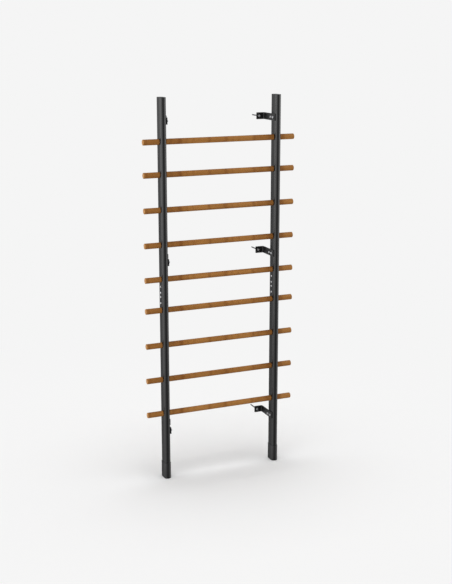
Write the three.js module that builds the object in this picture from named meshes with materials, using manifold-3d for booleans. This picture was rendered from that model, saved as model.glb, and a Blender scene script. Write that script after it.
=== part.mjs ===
// Wall bars. Two flat-oval steel posts, each in two lengths joined over an inner sleeve, carry round wooden
// rungs that pass right through them. Angle brackets tie the posts to the wall behind.
// Millimetres. +X runs along the rungs, +Y points to the wall, +Z is up and the floor is z = 0.
// The origin is under the middle of the box round the whole part.
import * as THREE from 'three';
import { mergeVertices } from 'three/addons/utils/BufferGeometryUtils.js';
import Module from 'manifold-3d';

const wasm = await Module();
wasm.setup();

// Clearance between neighbouring pieces, and how far a cutter runs past what it cuts
const FIT_GAP = 0.3;
const OVERRUN = 1;

// Posts: flat-oval tube, its flats facing along X
const POST_SPACING = 750;
const POST_WIDTH = 40;
const POST_DEPTH = 80;
const POST_WALL = 2;
const TUBE_LENGTH = 1190;

// Foot sleeve and top cap
const FOOT_SOLE = 3;
const FOOT_WALL = 2;
const FOOT_OVERLAP = 100;
const FOOT_EDGE = 1.5;
const CAP_FLANGE = 3;
const CAP_EDGE = 1;
const CAP_PLUG_DEPTH = 20;
const CAP_PLUG_WALL = 2;

// Rungs: distances between rung centres, counted from the post joint outwards
const RUNG_DIAMETER = 35;
const RUNG_OVERHANG = 100;
const RUNG_EDGE = 2.5;
const RUNG_TO_JOINT = 97;
const UPPER_PITCH = 213;
const TOP_PITCH = 196;
const LOWER_PITCH = 223;

// Screws that lock the rungs from behind
const RUNG_SCREW_DIAMETER = 5;
const RUNG_SCREW_LENGTH = 35;
const RUNG_SCREW_TAPER = 10;
const RUNG_SCREW_HEAD_DIAMETER = 9.5;
const RUNG_SCREW_HEAD_HEIGHT = 3;

// Splice: inner sleeve and its four button-head bolts, placed from the joint
const SPLICE_LENGTH = 150;
const SPLICE_WALL = 5;
const SPLICE_BOLT_OFFSETS = [52, 13, -13, -52];
const SPLICE_BOLT_LENGTH = 12;
const SPLICE_HEAD_DIAMETER = 14;
const SPLICE_HEAD_HEIGHT = 4.4;
const SPLICE_SOCKET = 5;
const SPLICE_SOCKET_DEPTH = 2.6;

// Wall brackets: flat steel bent to an angle, with its wall leg pointing inwards
const BRACKET_THICKNESS = 6;
const BRACKET_HEIGHT = 42;
const BRACKET_LEVELS = { upper: 2248, middle: 1397, lower: 315 };
const BRACKET_FRONT = 31;
const BRACKET_BEND_RADIUS = 6;
const BRACKET_CORNER = 3;
const WALL_DISTANCE = 125;
const WALL_LEG = 50;
const WALL_HOLE_FROM_END = 16;

// Socket-head bolts that hold a bracket, in threaded collars drawn out of the tube wall
const BRACKET_BOLT_SPACING = 30;
const BRACKET_BOLT_LENGTH = 20;
const BRACKET_HEAD_DIAMETER = 13;
const BRACKET_HEAD_HEIGHT = 8;
const BRACKET_HEAD_CHAMFER = 0.8;
const BRACKET_SOCKET = 6;
const BRACKET_SOCKET_DEPTH = 4;
const COLLAR_DIAMETER = 13;
const COLLAR_DEPTH = 4;

// Wall screws with a hexagon head. All bolts and wall screws share one shank size.
const SHANK_DIAMETER = 8;
const SHANK_HOLE_DIAMETER = 9;
const WALL_SCREW_LENGTH = 105;
const WALL_SCREW_TIP = 9;
const WALL_HEAD_ACROSS_FLATS = 13;
const WALL_HEAD_HEIGHT = 5.5;

// Facets: steps of a post's half round and of a bend or corner, and sides of each turned piece
const POST_ARC_STEPS = 12;
const BEND_STEPS = 4;
const CORNER_STEPS = 2;
const RUNG_SIDES = 16;
const BOLT_SIDES = 12;
const RUNG_SCREW_SIDES = 8;
const DOME_STEPS = 2;
const DOME_TURN = Math.PI / 3;

// Values worked out from the sizes above
const jointHeight = FOOT_SOLE + TUBE_LENGTH;
const topHeight = jointHeight + TUBE_LENGTH;
const flatX = POST_WIDTH / 2;
const insideWidth = POST_WIDTH - 2 * (POST_WALL + FIT_GAP);
const insideDepth = POST_DEPTH - 2 * (POST_WALL + FIT_GAP);
const rungLength = POST_SPACING + POST_WIDTH + 2 * RUNG_OVERHANG;
const rungScrewHole = RUNG_SCREW_DIAMETER + 2 * FIT_GAP;
const rungScrewSeat = POST_DEPTH / 2 + FIT_GAP;
const footHeight = FOOT_SOLE + FOOT_OVERLAP;
const footWidth = POST_WIDTH + 2 * (FIT_GAP + FOOT_WALL);
const footDepth = POST_DEPTH + 2 * (FIT_GAP + FOOT_WALL);
const firstUpper = jointHeight + RUNG_TO_JOINT;
const firstLower = jointHeight - RUNG_TO_JOINT;
const rungHeights = [
  firstUpper + 3 * UPPER_PITCH + TOP_PITCH,
  ...[3, 2, 1, 0].map((step) => firstUpper + step * UPPER_PITCH),
  ...[0, 1, 2, 3].map((step) => firstLower - step * LOWER_PITCH),
];
const bracketBoltPlaces = [-BRACKET_BOLT_SPACING / 2, BRACKET_BOLT_SPACING / 2];
const wallLegFront = WALL_DISTANCE - BRACKET_THICKNESS;
const wallScrewSeat = wallLegFront - FIT_GAP;
const middleOfDepth = (wallScrewSeat + WALL_SCREW_LENGTH - footDepth / 2) / 2;

// A bracket is drawn from the post's inner flat, with the inside of the frame towards -X
const bracketOuter = -FIT_GAP;
const bracketInner = bracketOuter - BRACKET_THICKNESS;
const wallLegEnd = bracketInner - WALL_LEG;
const wallHoleX = wallLegEnd + WALL_HOLE_FROM_END;

// The two posts: where they stand, and which way along X their inner flat looks
const posts = [
  { name: 'left', x: -POST_SPACING / 2, inward: 1 },
  { name: 'right', x: POST_SPACING / 2, inward: -1 },
];

const charcoalCoat = { color: 0x3a3b3d, roughness: 0.45, metalness: 0.2 };
const blackCoat = { color: 0x1d1e20, roughness: 0.5, metalness: 0.2 };
const oiledWood = { color: 0x96652f, roughness: 0.6, metalness: 0 };
const zincSteel = { color: 0xb9bcc0, roughness: 0.3, metalness: 1 };
const bareSteel = { color: 0x8d9094, roughness: 0.45, metalness: 1 };
const blackPlastic = { color: 0x2c2d2f, roughness: 0.6, metalness: 0 };

const wallBars = new THREE.Group();
wallBars.position.y = -middleOfDepth;

// Adds one named piece to a group
function addPiece(parent, name, geometry, finish) {
  const piece = new THREE.Mesh(geometry, new THREE.MeshStandardMaterial(finish));
  piece.name = name;
  parent.add(piece);
  return piece;
}

// Turns a closed geometry into a solid for joining and cutting
function toSolid(geometry) {
  const bare = geometry.clone();
  bare.deleteAttribute('normal');
  bare.deleteAttribute('uv');
  const merged = mergeVertices(bare);
  const vertProperties = new Float32Array(merged.attributes.position.array);
  const triVerts = new Uint32Array(merged.index.array);
  return new wasm.Manifold(new wasm.Mesh({ numProp: 3, vertProperties, triVerts }));
}

// Turns a solid back into a geometry
function toGeometry(solid) {
  const mesh = solid.getMesh();
  const geometry = new THREE.BufferGeometry();
  geometry.setAttribute('position', new THREE.BufferAttribute(mesh.vertProperties, 3));
  geometry.setIndex(new THREE.BufferAttribute(mesh.triVerts, 1));
  geometry.computeVertexNormals();
  return geometry;
}

// One geometry out of several that touch or cross
function join(...geometries) {
  return toGeometry(geometries.map(toSolid).reduce((solid, other) => solid.add(other)));
}

// What several geometries have in common
function common(...geometries) {
  return toGeometry(geometries.map(toSolid).reduce((solid, other) => solid.intersect(other)));
}

// A geometry with the given cutters taken out of it
function cut(geometry, cutters) {
  return toGeometry([geometry, ...cutters].map(toSolid).reduce((solid, cutter) => solid.subtract(cutter)));
}

// An extruded outline. A round stretch takes two steps for each curve segment.
function extruded(outline, depth, roundSteps, edge = 0) {
  const bevel = { bevelEnabled: edge > 0, bevelThickness: edge, bevelSize: edge, bevelSegments: 1 };
  return new THREE.ExtrudeGeometry(outline, { depth, curveSegments: roundSteps / 2, ...bevel });
}

// A flat-oval outline, its straight sides facing along X
function flatOval(OutlineClass, width, depth) {
  const radius = width / 2;
  const centre = depth / 2 - radius;
  const outline = new OutlineClass();
  outline.absarc(0, centre, radius, 0, Math.PI, false);
  outline.absarc(0, -centre, radius, Math.PI, 2 * Math.PI, false);
  outline.closePath();
  return outline;
}

// A solid flat-oval bar standing at a height, with its end edges broken where an edge is given
function flatOvalBar(width, depth, bottom, height, edge = 0) {
  const outline = flatOval(THREE.Shape, width - 2 * edge, depth - 2 * edge);
  return extruded(outline, height - 2 * edge, POST_ARC_STEPS, edge).translate(0, 0, bottom + edge);
}

// A flat-oval tube standing at a height, open at both ends
function flatOvalTube(width, depth, wall, bottom, height) {
  const outline = flatOval(THREE.Shape, width, depth);
  outline.holes.push(flatOval(THREE.Path, width - 2 * wall, depth - 2 * wall));
  return extruded(outline, height, POST_ARC_STEPS).translate(0, 0, bottom);
}

// A round bar along X between two places
function roundAlongX(diameter, from, to, y, z, sides = BOLT_SIDES) {
  const bar = new THREE.CylinderGeometry(diameter / 2, diameter / 2, Math.abs(to - from), sides);
  return bar.rotateZ(Math.PI / 2).translate((from + to) / 2, y, z);
}

// A round bar along Y between two places
function roundAlongY(diameter, from, to, x, z, sides = BOLT_SIDES) {
  const bar = new THREE.CylinderGeometry(diameter / 2, diameter / 2, Math.abs(to - from), sides);
  return bar.translate(x, (from + to) / 2, z);
}

// A hexagonal bar about Y between two heights
function hexagonBar(acrossFlats, from, to) {
  const radius = acrossFlats / Math.sqrt(3);
  return new THREE.CylinderGeometry(radius, radius, to - from, 6).translate(0, (from + to) / 2, 0);
}

// A body turned about Y from pairs of radius and height, which start and end on the axis
function turned(profile, sides) {
  return new THREE.LatheGeometry(profile.map(([radius, height]) => new THREE.Vector2(radius, height)), sides);
}

// The profile of a domed head above its seat: part of an ellipse, up to a small flat
function dome(diameter, height) {
  const angles = Array.from({ length: DOME_STEPS + 1 }, (_, step) => (step / DOME_STEPS) * DOME_TURN);
  return angles.map((angle) => {
    return [(diameter / 2) * Math.cos(angle), height * (Math.sin(angle) / Math.sin(DOME_TURN))];
  });
}

// One tube of a post, with collars and holes for what screws into it and holes for what passes through it
function postTube(post, bottom, top) {
  const within = (height) => height > bottom && height < top;
  const side = post.inward;
  const insideX = flatX - POST_WALL;
  const collarEnd = insideX - COLLAR_DEPTH;
  const rungs = rungHeights.filter(within);
  const splices = SPLICE_BOLT_OFFSETS.map((offset) => jointHeight + offset).filter(within);
  const brackets = Object.values(BRACKET_LEVELS).filter(within);
  const threads = brackets.flatMap((z) => bracketBoltPlaces.map((y) => ({ y, z })));
  const collars = threads.map(({ y, z }) => {
    return roundAlongX(COLLAR_DIAMETER, side * (insideX + POST_WALL / 2), side * collarEnd, y, z);
  });
  const holes = [
    ...threads.map(({ y, z }) => {
      return roundAlongX(SHANK_HOLE_DIAMETER, side * (flatX + OVERRUN), side * (collarEnd - OVERRUN), y, z);
    }),
    ...rungs.map((z) => roundAlongX(RUNG_DIAMETER + 2 * FIT_GAP, -POST_WIDTH, POST_WIDTH, 0, z, RUNG_SIDES)),
    ...rungs.map((z) => roundAlongY(rungScrewHole, POST_DEPTH / 4, POST_DEPTH, 0, z, RUNG_SCREW_SIDES)),
    ...splices.map((z) => roundAlongX(SHANK_HOLE_DIAMETER, -POST_WIDTH, 0, 0, z)),
  ];
  const tube = flatOvalTube(POST_WIDTH, POST_DEPTH, POST_WALL, bottom, top - bottom);
  return cut(join(tube, ...collars), holes);
}

// The sleeve inside a post's joint, with a threaded hole for each splice bolt
function spliceSleeve() {
  const bottom = jointHeight - SPLICE_LENGTH / 2;
  const holes = SPLICE_BOLT_OFFSETS.map((offset) => {
    return roundAlongX(SHANK_DIAMETER + 2 * FIT_GAP, -POST_WIDTH, 0, 0, jointHeight + offset);
  });
  return cut(flatOvalTube(insideWidth, insideDepth, SPLICE_WALL, bottom, SPLICE_LENGTH), holes);
}

// A button-head bolt, its head up from the seat at the origin and its shank down
function spliceBolt() {
  const shank = SHANK_DIAMETER / 2;
  const body = turned([
    [0, -SPLICE_BOLT_LENGTH],
    [shank, -SPLICE_BOLT_LENGTH],
    [shank, 0],
    ...dome(SPLICE_HEAD_DIAMETER, SPLICE_HEAD_HEIGHT),
    [0, SPLICE_HEAD_HEIGHT],
  ], BOLT_SIDES);
  const socketBottom = SPLICE_HEAD_HEIGHT - SPLICE_SOCKET_DEPTH;
  return cut(body, [hexagonBar(SPLICE_SOCKET, socketBottom, SPLICE_HEAD_HEIGHT + OVERRUN)]);
}

// A socket-head bolt, its head up from the seat at the origin and its shank down
function bracketBolt() {
  const shank = SHANK_DIAMETER / 2;
  const head = BRACKET_HEAD_DIAMETER / 2;
  const body = turned([
    [0, -BRACKET_BOLT_LENGTH],
    [shank, -BRACKET_BOLT_LENGTH],
    [shank, 0],
    [head, 0],
    [head, BRACKET_HEAD_HEIGHT - BRACKET_HEAD_CHAMFER],
    [head - BRACKET_HEAD_CHAMFER, BRACKET_HEAD_HEIGHT],
    [0, BRACKET_HEAD_HEIGHT],
  ], BOLT_SIDES);
  const socketBottom = BRACKET_HEAD_HEIGHT - BRACKET_SOCKET_DEPTH;
  return cut(body, [hexagonBar(BRACKET_SOCKET, socketBottom, BRACKET_HEAD_HEIGHT + OVERRUN)]);
}

// A wall screw along +Y, its head before the seat at the origin and its pointed shank behind
function wallScrew() {
  const shank = SHANK_DIAMETER / 2;
  const headMiddle = -WALL_HEAD_HEIGHT / 2;
  const shaft = turned([
    [0, headMiddle],
    [shank, headMiddle],
    [shank, WALL_SCREW_LENGTH - WALL_SCREW_TIP],
    [0, WALL_SCREW_LENGTH],
  ], BOLT_SIDES);
  return join(shaft, hexagonBar(WALL_HEAD_ACROSS_FLATS, -WALL_HEAD_HEIGHT, 0));
}

// A pan-head screw, its head up from the seat at the origin and its pointed shank down
function rungScrew() {
  const shank = RUNG_SCREW_DIAMETER / 2;
  return turned([
    [0, -RUNG_SCREW_LENGTH],
    [shank, -RUNG_SCREW_LENGTH + RUNG_SCREW_TAPER],
    [shank, 0],
    ...dome(RUNG_SCREW_HEAD_DIAMETER, RUNG_SCREW_HEAD_HEIGHT),
    [0, RUNG_SCREW_HEAD_HEIGHT],
  ], RUNG_SCREW_SIDES);
}

// A rung along X with broken end edges, and a pilot hole from behind at each post
function rung() {
  const radius = RUNG_DIAMETER / 2;
  const half = rungLength / 2;
  const bar = turned([
    [0, -half],
    [radius - RUNG_EDGE, -half],
    [radius, -half + RUNG_EDGE],
    [radius, half - RUNG_EDGE],
    [radius - RUNG_EDGE, half],
    [0, half],
  ], RUNG_SIDES);
  const pilotEnd = rungScrewSeat - RUNG_SCREW_LENGTH - OVERRUN;
  const pilots = posts.map((post) => {
    return roundAlongY(rungScrewHole, pilotEnd, RUNG_DIAMETER, post.x, 0, RUNG_SCREW_SIDES);
  });
  return cut(bar.rotateZ(-Math.PI / 2), pilots);
}

// The bent strip of a bracket, drawn in plan: post leg along Y, bend, wall leg towards -X
function bracketStrip() {
  const outerRadius = BRACKET_BEND_RADIUS + BRACKET_THICKNESS;
  const centreX = bracketOuter - outerRadius;
  const centreY = WALL_DISTANCE - outerRadius;
  const plan = new THREE.Shape();
  plan.moveTo(bracketOuter, -BRACKET_FRONT);
  plan.lineTo(bracketOuter, centreY);
  plan.absarc(centreX, centreY, outerRadius, 0, Math.PI / 2, false);
  plan.lineTo(wallLegEnd, WALL_DISTANCE);
  plan.lineTo(wallLegEnd, wallLegFront);
  plan.lineTo(centreX, wallLegFront);
  plan.absarc(centreX, centreY, BRACKET_BEND_RADIUS, Math.PI / 2, 0, true);
  plan.lineTo(bracketInner, -BRACKET_FRONT);
  plan.closePath();
  return extruded(plan, BRACKET_HEIGHT, BEND_STEPS).translate(0, 0, -BRACKET_HEIGHT / 2);
}

// A block as high as a bracket along Y, with rounded corners at its start along X
function roundedBlock(start, end, depth) {
  const half = BRACKET_HEIGHT / 2;
  const centreX = start + BRACKET_CORNER;
  const centreY = half - BRACKET_CORNER;
  const outline = new THREE.Shape();
  outline.moveTo(end, -half);
  outline.lineTo(end, half);
  outline.absarc(centreX, centreY, BRACKET_CORNER, Math.PI / 2, Math.PI, false);
  outline.absarc(centreX, -centreY, BRACKET_CORNER, Math.PI, 1.5 * Math.PI, false);
  outline.closePath();
  return extruded(outline, depth, CORNER_STEPS).translate(0, 0, -depth / 2);
}

// A bracket for the right post: the bent strip, rounded at both free ends and drilled
function bracket() {
  const seenFromSide = roundedBlock(-BRACKET_FRONT, WALL_DISTANCE + OVERRUN, 4 * WALL_LEG);
  const seenFromFront = roundedBlock(wallLegEnd, OVERRUN, 4 * WALL_DISTANCE);
  const strip = common(
    bracketStrip(),
    seenFromSide.rotateX(Math.PI / 2).rotateZ(Math.PI / 2),
    seenFromFront.rotateX(Math.PI / 2),
  );
  const boltHoles = bracketBoltPlaces.map((y) => {
    return roundAlongX(SHANK_HOLE_DIAMETER, OVERRUN, bracketInner - OVERRUN, y, 0);
  });
  const drillEnd = WALL_DISTANCE + OVERRUN;
  const wallHole = roundAlongY(SHANK_HOLE_DIAMETER, wallLegFront - OVERRUN, drillEnd, wallHoleX, 0);
  return cut(strip, [...boltHoles, wallHole]);
}

// A sleeve over the foot of a post, closed by a sole
function footSleeve() {
  const block = flatOvalBar(footWidth, footDepth, 0, footHeight, FOOT_EDGE);
  const pocket = flatOvalBar(footWidth - 2 * FOOT_WALL, footDepth - 2 * FOOT_WALL, FOOT_SOLE, footHeight);
  return cut(block, [pocket]);
}

// A cap closing the top of a post: a flange with a hollow plug below it
function topCap() {
  const plugBottom = topHeight - CAP_PLUG_DEPTH;
  const plugHeight = CAP_PLUG_DEPTH + CAP_FLANGE / 2;
  return join(
    flatOvalBar(POST_WIDTH, POST_DEPTH, topHeight, CAP_FLANGE, CAP_EDGE),
    flatOvalTube(insideWidth, insideDepth, CAP_PLUG_WALL, plugBottom, plugHeight),
  );
}

// Posts with their splices, feet and caps
for (const post of posts) {
  const upright = new THREE.Group();
  upright.position.x = post.x;
  wallBars.add(upright);
  const lowerTube = postTube(post, FOOT_SOLE + FIT_GAP, jointHeight - FIT_GAP / 2);
  const upperTube = postTube(post, jointHeight + FIT_GAP / 2, topHeight - FIT_GAP);
  addPiece(upright, `${post.name}_post_lower`, lowerTube, charcoalCoat);
  addPiece(upright, `${post.name}_post_upper`, upperTube, charcoalCoat);
  addPiece(upright, `${post.name}_splice_sleeve`, spliceSleeve(), bareSteel);
  addPiece(upright, `${post.name}_foot_sleeve`, footSleeve(), blackPlastic);
  addPiece(upright, `${post.name}_top_cap`, topCap(), blackPlastic);
  SPLICE_BOLT_OFFSETS.forEach((offset, index) => {
    const bolt = addPiece(upright, `${post.name}_splice_bolt_${index + 1}`, spliceBolt(), zincSteel);
    bolt.rotation.z = Math.PI / 2;
    bolt.position.set(-flatX - FIT_GAP, 0, jointHeight + offset);
  });
}

// Rungs from the top down, each locked by a screw through the back of the left post
rungHeights.forEach((height, index) => {
  const number = index + 1;
  const bar = addPiece(wallBars, `rung_${number}`, rung(), oiledWood);
  bar.position.z = height;
  const screw = addPiece(wallBars, `rung_screw_${number}`, rungScrew(), zincSteel);
  screw.position.set(posts[0].x, rungScrewSeat, height);
});

// Brackets with their bolts and wall screws. A left bracket is a right one turned half round about Y.
for (const post of posts) {
  for (const [level, height] of Object.entries(BRACKET_LEVELS)) {
    const name = `${post.name}_${level}`;
    const arm = new THREE.Group();
    arm.position.set(post.x + post.inward * flatX, 0, height);
    arm.rotation.y = post.inward > 0 ? Math.PI : 0;
    wallBars.add(arm);
    addPiece(arm, `${name}_bracket`, bracket(), blackCoat);
    ['front', 'rear'].forEach((place, index) => {
      const bolt = addPiece(arm, `${name}_bracket_bolt_${place}`, bracketBolt(), zincSteel);
      bolt.rotation.z = Math.PI / 2;
      bolt.position.set(bracketInner - FIT_GAP, bracketBoltPlaces[index], 0);
    });
    const screw = addPiece(arm, `${name}_wall_screw`, wallScrew(), zincSteel);
    screw.position.set(wallHoleX, wallScrewSeat, 0);
  }
}

export default wallBars;
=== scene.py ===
"""Finished surfaces, finishes and stage for a set of wall bars, made around its solid model.

Metres throughout. +X runs along the rungs, +Y points to the wall and +Z is up.
"""

import math

import bmesh
import bpy
import numpy as np
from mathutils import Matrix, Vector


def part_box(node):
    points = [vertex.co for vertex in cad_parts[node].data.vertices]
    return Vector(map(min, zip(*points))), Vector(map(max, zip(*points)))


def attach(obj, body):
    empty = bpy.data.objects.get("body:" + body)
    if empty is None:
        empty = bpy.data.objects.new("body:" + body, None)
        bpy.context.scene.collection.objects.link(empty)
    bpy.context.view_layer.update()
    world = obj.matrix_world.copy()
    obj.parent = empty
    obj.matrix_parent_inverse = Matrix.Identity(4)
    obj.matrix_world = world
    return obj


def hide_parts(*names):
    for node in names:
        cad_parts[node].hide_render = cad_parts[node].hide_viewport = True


bl_info = {
    "name": "Wall bars",
    "version": (1, 0, 0),
    "blender": (4, 5, 0),
    "location": "3D View > Sidebar > Wall bars",
    "description": "Makes the finished surfaces of a set of wall bars around its solid model",
    "category": "Add Mesh",
}

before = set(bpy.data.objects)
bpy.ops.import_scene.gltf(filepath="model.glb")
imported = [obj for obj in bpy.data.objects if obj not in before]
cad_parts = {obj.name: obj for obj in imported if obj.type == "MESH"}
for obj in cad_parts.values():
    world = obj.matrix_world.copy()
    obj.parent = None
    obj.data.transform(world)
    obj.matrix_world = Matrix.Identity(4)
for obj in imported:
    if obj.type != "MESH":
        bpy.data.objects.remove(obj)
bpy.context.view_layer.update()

MM = 0.001
SIDES = ("left", "right")
LEVELS = ("upper", "middle", "lower")
TUBES = ("lower", "upper")
BOLT_PLACES = ("front", "rear")
RUNGS = range(1, 10)
SPLICE_BOLTS = range(1, 5)
BRACKETS = [(side, f"{side}_{level}") for side in SIDES for level in LEVELS]
RIGHTWARDS, LEFTWARDS = (1, 0, 0), (-1, 0, 0)
WALLWARDS, FORWARDS = (0, 1, 0), (0, -1, 0)
UPWARDS = (0, 0, 1)

# Facets: cells across a post's flat and round a quarter circle of it, and sides of the turned pieces
FLAT_CELLS = 16
QUARTER_CELLS = 12
RUNG_SIDES = 64
BOLT_SIDES = 48
KNURL_RIDGES = 36
KNURLED_SIDES = 4 * KNURL_RIDGES

# Edges that turn by more than these degrees stay crisp: on bolt heads, on threads and everywhere else
HEAD_CREASE = 28
THREAD_CREASE = 32
CREASE = 35


def extent(node):
    """Lowest and highest corner of a solid of the frame, as arrays."""
    low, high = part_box(node)
    return np.array(low), np.array(high)


def middle(node):
    """Middle of the box of a solid of the frame."""
    low, high = extent(node)
    return (low + high) / 2


def size_of(node):
    """Length, depth and height of the box of a solid of the frame."""
    low, high = extent(node)
    return high - low


POST_WIDTH, POST_DEPTH = size_of("left_post_upper")[:2]
POST_FLAT = POST_DEPTH - POST_WIDTH
POST_Y = middle("left_post_upper")[1]
RUNG_LENGTH, _, RUNG_DIAMETER = size_of("rung_1")


def measure(name, description, millimetres):
    """A size that a user may change, with its default in millimetres."""
    return bpy.props.FloatProperty(
        name=name, description=description, default=millimetres * MM, unit="LENGTH")


def tone(name, description, red, green, blue):
    """A colour that a user may change."""
    return bpy.props.FloatVectorProperty(
        name=name, description=description, subtype="COLOR", size=3, min=0, max=1, default=(red, green, blue))


def brightness(name, description, default):
    """A level of light that a user may change."""
    return bpy.props.FloatProperty(name=name, description=description, default=default)


class WallBarSizes(bpy.types.PropertyGroup):
    """Sizes of the finished pieces that the solid model doesn't give."""

    tube_wall: measure("Tube wall", "Wall of the post tubes", 2)
    tube_edge: measure("Tube edge", "Softness of cut tube edges", 0.4)
    rung_play: measure("Rung play", "Gap between a rung and its hole", 0.3)
    rung_edge: measure("Rung edge", "Rounding of the rung ends", 2.5)
    bracket_thickness: measure("Bracket thickness", "Thickness of the flat steel", 6)
    bracket_edge: measure("Bracket edge", "Softness of the bracket edges", 0.6)
    bracket_corner: measure("Bracket corner", "Rounding of the free corners", 3)
    bend_radius: measure("Bend radius", "Inside radius of the bracket's bend", 6)
    bolt_hole: measure("Bolt hole", "Holes for bolts and wall screws", 9)
    screw_hole: measure("Screw hole", "Holes for rung screws", 5.6)
    foot_wall: measure("Foot wall", "Wall of the foot sleeves", 2)
    foot_sole: measure("Foot sole", "Thickness of the soles", 3)
    foot_edge: measure("Foot edge", "Rounding of the foot sleeves", 1.5)
    cap_flange: measure("Cap flange", "Thickness of the cap above the tube", 3)
    cap_edge: measure("Cap edge", "Rounding of the caps", 1)
    cap_plug_inset: measure("Plug inset", "From the cap's rim in to its plug", 2.3)
    cap_plug_wall: measure("Plug wall", "Wall of the cap's plug", 2)
    shank: measure("Shank", "Diameter of bolts and wall screws", 8)
    splice_head: measure("Splice head", "Height of the button heads", 4.4)
    splice_socket: measure("Splice socket", "Key size of the splice bolts", 5)
    bracket_head: measure("Bracket head", "Height of the socket heads", 8)
    bracket_socket: measure("Bracket socket", "Key size of the bracket bolts", 6)
    wall_head: measure("Wall head", "Height of the hexagon heads", 5.5)
    wall_key: measure("Wall key", "Hexagon heads across their flats", 13)
    thread_pitch: measure("Thread pitch", "Pitch of the wall screws", 3.8)
    thread_depth: measure("Thread depth", "Depth of the wall screws' thread", 1.2)
    thread_length: measure("Thread length", "Threaded end of the wall screws", 62)
    rung_screw_head: measure("Rung screw head", "Height of the pan heads", 3)
    rung_screw_shank: measure("Rung screw shank", "Diameter of the rung screws", 5)


class WallBarColours(bpy.types.PropertyGroup):
    """Colours of the finishes and of the stage."""

    charcoal: tone("Charcoal", "Powder coat of the posts", 0.005, 0.0052, 0.0055)
    black: tone("Black", "Powder coat of the brackets", 0.0045, 0.0045, 0.0047)
    plastic: tone("Plastic", "Foot sleeves and caps", 0.004, 0.0042, 0.0045)
    wood_light: tone("Light wood", "Between the growth joints", 0.363, 0.164, 0.041)
    wood_dark: tone("Dark wood", "Darker strips and fibres", 0.228, 0.0925, 0.0195)
    # Growth-joint colour, also the colour of the painted shade beside the posts
    wood_joint_and_shade: tone("Growth joint", "Bands across the strips", 0.15, 0.046, 0.005)
    wood_end: tone("End grain", "Cut ends of the rungs", 0.42, 0.23, 0.095)
    zinc: tone("Zinc", "Bolts and screws", 0.48, 0.485, 0.50)
    # A darker zinc tone for the wall screws' threads
    dull_zinc: tone("Dull zinc", "Oily threads of the wall screws", 0.09, 0.09, 0.095)
    steel: tone("Steel", "Sleeves inside the posts", 0.42, 0.42, 0.43)
    floor: tone("Floor", "Floor of the stage", 0.913, 0.913, 0.913)
    backdrop: tone("Backdrop", "What shows behind the part", 0.913, 0.913, 0.913)
    # How far the wall screws' heads take the darker zinc tone
    head_dulling: bpy.props.FloatProperty(
        name="Handled heads", description="How far the wall screws' heads have dulled", default=0.25,
        min=0, max=1, subtype="FACTOR")


class WallBarStage(bpy.types.PropertyGroup):
    """Levels of the light, at which a colour renders about as it is written."""

    softbox_level: brightness("Softbox level", "Light on the floor from overhead", 1.068)
    softbox_angle: bpy.props.FloatProperty(
        name="Softbox angle", description="How wide the softbox looks from the floor",
        default=math.radians(60), subtype="ANGLE")
    tent_front: brightness("Tent front", "Glow of the tent in front", 0.19)
    tent_back: brightness("Tent back", "Glow of the tent behind", 0.04)
    tent_top: brightness("Tent top", "Further glow overhead", 0.75)
    tent_bottom: brightness("Tent bottom", "Further glow from below", 0.12)
    tent_side: brightness("Tent side", "Further glow of the tent's sides at the horizon", 2.3)
    tent_slope: brightness("Tent slope", "How much brighter the sides get with height", 3.0)
    tent_fade: brightness("Tent fade", "How fast the right side dims towards the back", 0.35)


# Meshes worked out on grids


def grid_quads(rows, columns, closed):
    """Quads between the points of a grid, facing where columns run anticlockwise and rows run up.
    A closed grid joins its last column to its first."""
    row, column = np.meshgrid(
        np.arange(rows - 1), np.arange(columns if closed else columns - 1), indexing="ij")
    right = (column + 1) % columns
    below, above = row * columns, (row + 1) * columns
    return np.stack([below + column, below + right, above + right, above + column], axis=-1).reshape(-1, 4)


def arc(across, up, radius, start, end, steps=6):
    """Points on a circle: (across + radius cos a, up + radius sin a), a going from start to end degrees."""
    angle = np.radians(np.linspace(start, end, steps + 1))
    return np.stack([across + radius * np.cos(angle), up + radius * np.sin(angle)], axis=1)


def dome(radius, height, start, end, steps):
    """A domed head's profile: (radius cos a, height sin a / sin end), a going from start to end degrees."""
    return arc(0, 0, 1, start, end, steps) * (radius, height / math.sin(math.radians(end)))


def hexagon_form(turn):
    """A hexagon 2 across its flats: radius 1 / cos of the turn's distance from the nearest flat."""
    sixth = math.pi / 3
    return 1 / np.cos((turn + sixth / 2) % sixth - sixth / 2)


def lobed_form(turn):
    """Six round lobes: radius 1 + 0.16 cos 6t."""
    return 1 + 0.16 * np.cos(6 * turn)


def knurled_form(turn):
    """A circle with fine ridges: radius 1 + 0.012 cos nt for n ridges."""
    return 1 + 0.012 * np.cos(KNURL_RIDGES * turn)


def turn_of(sides):
    """The angle of each side round a turned piece."""
    return np.arange(sides) * (2 * math.pi / sides)


def formed(stations, sides):
    """Radius and height grids of a turned piece from its stations, each a radius, a height and, if not round,
    a form. The radius at a turn t is the station's radius times its form at t."""
    turn = turn_of(sides)
    radius = np.stack([size * (form[0](turn) if form else np.ones(sides)) for size, _, *form in stations])
    height = np.array([[station[1]] for station in stations]) + np.zeros_like(radius)
    return radius, height


def turned(radius, height, origin, axis):
    """A body turned about an axis. Its points are origin + height * axis + radius * (cos t * a + sin t * b),
    where a and b are square to the axis and to each other, and t goes once round with the columns."""
    axis = np.asarray(axis, float)
    first = np.roll(axis, 1)
    second = np.cross(axis, first)
    turn = turn_of(radius.shape[1])[:, None]
    spoke = np.cos(turn) * first + np.sin(turn) * second
    points = np.asarray(origin) + height[..., None] * axis + radius[..., None] * spoke
    return points.reshape(-1, 3), grid_quads(*radius.shape, closed=True)


def seat_of(node, axis, head):
    """For a bolt or screw whose head points along an axis: its seat, its length below that and its radius."""
    size = size_of(node)
    length = np.abs(axis) @ size - head
    seat = middle(node) + np.array(axis) * (length - head) / 2
    return seat, length, size[2] / 2


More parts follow.
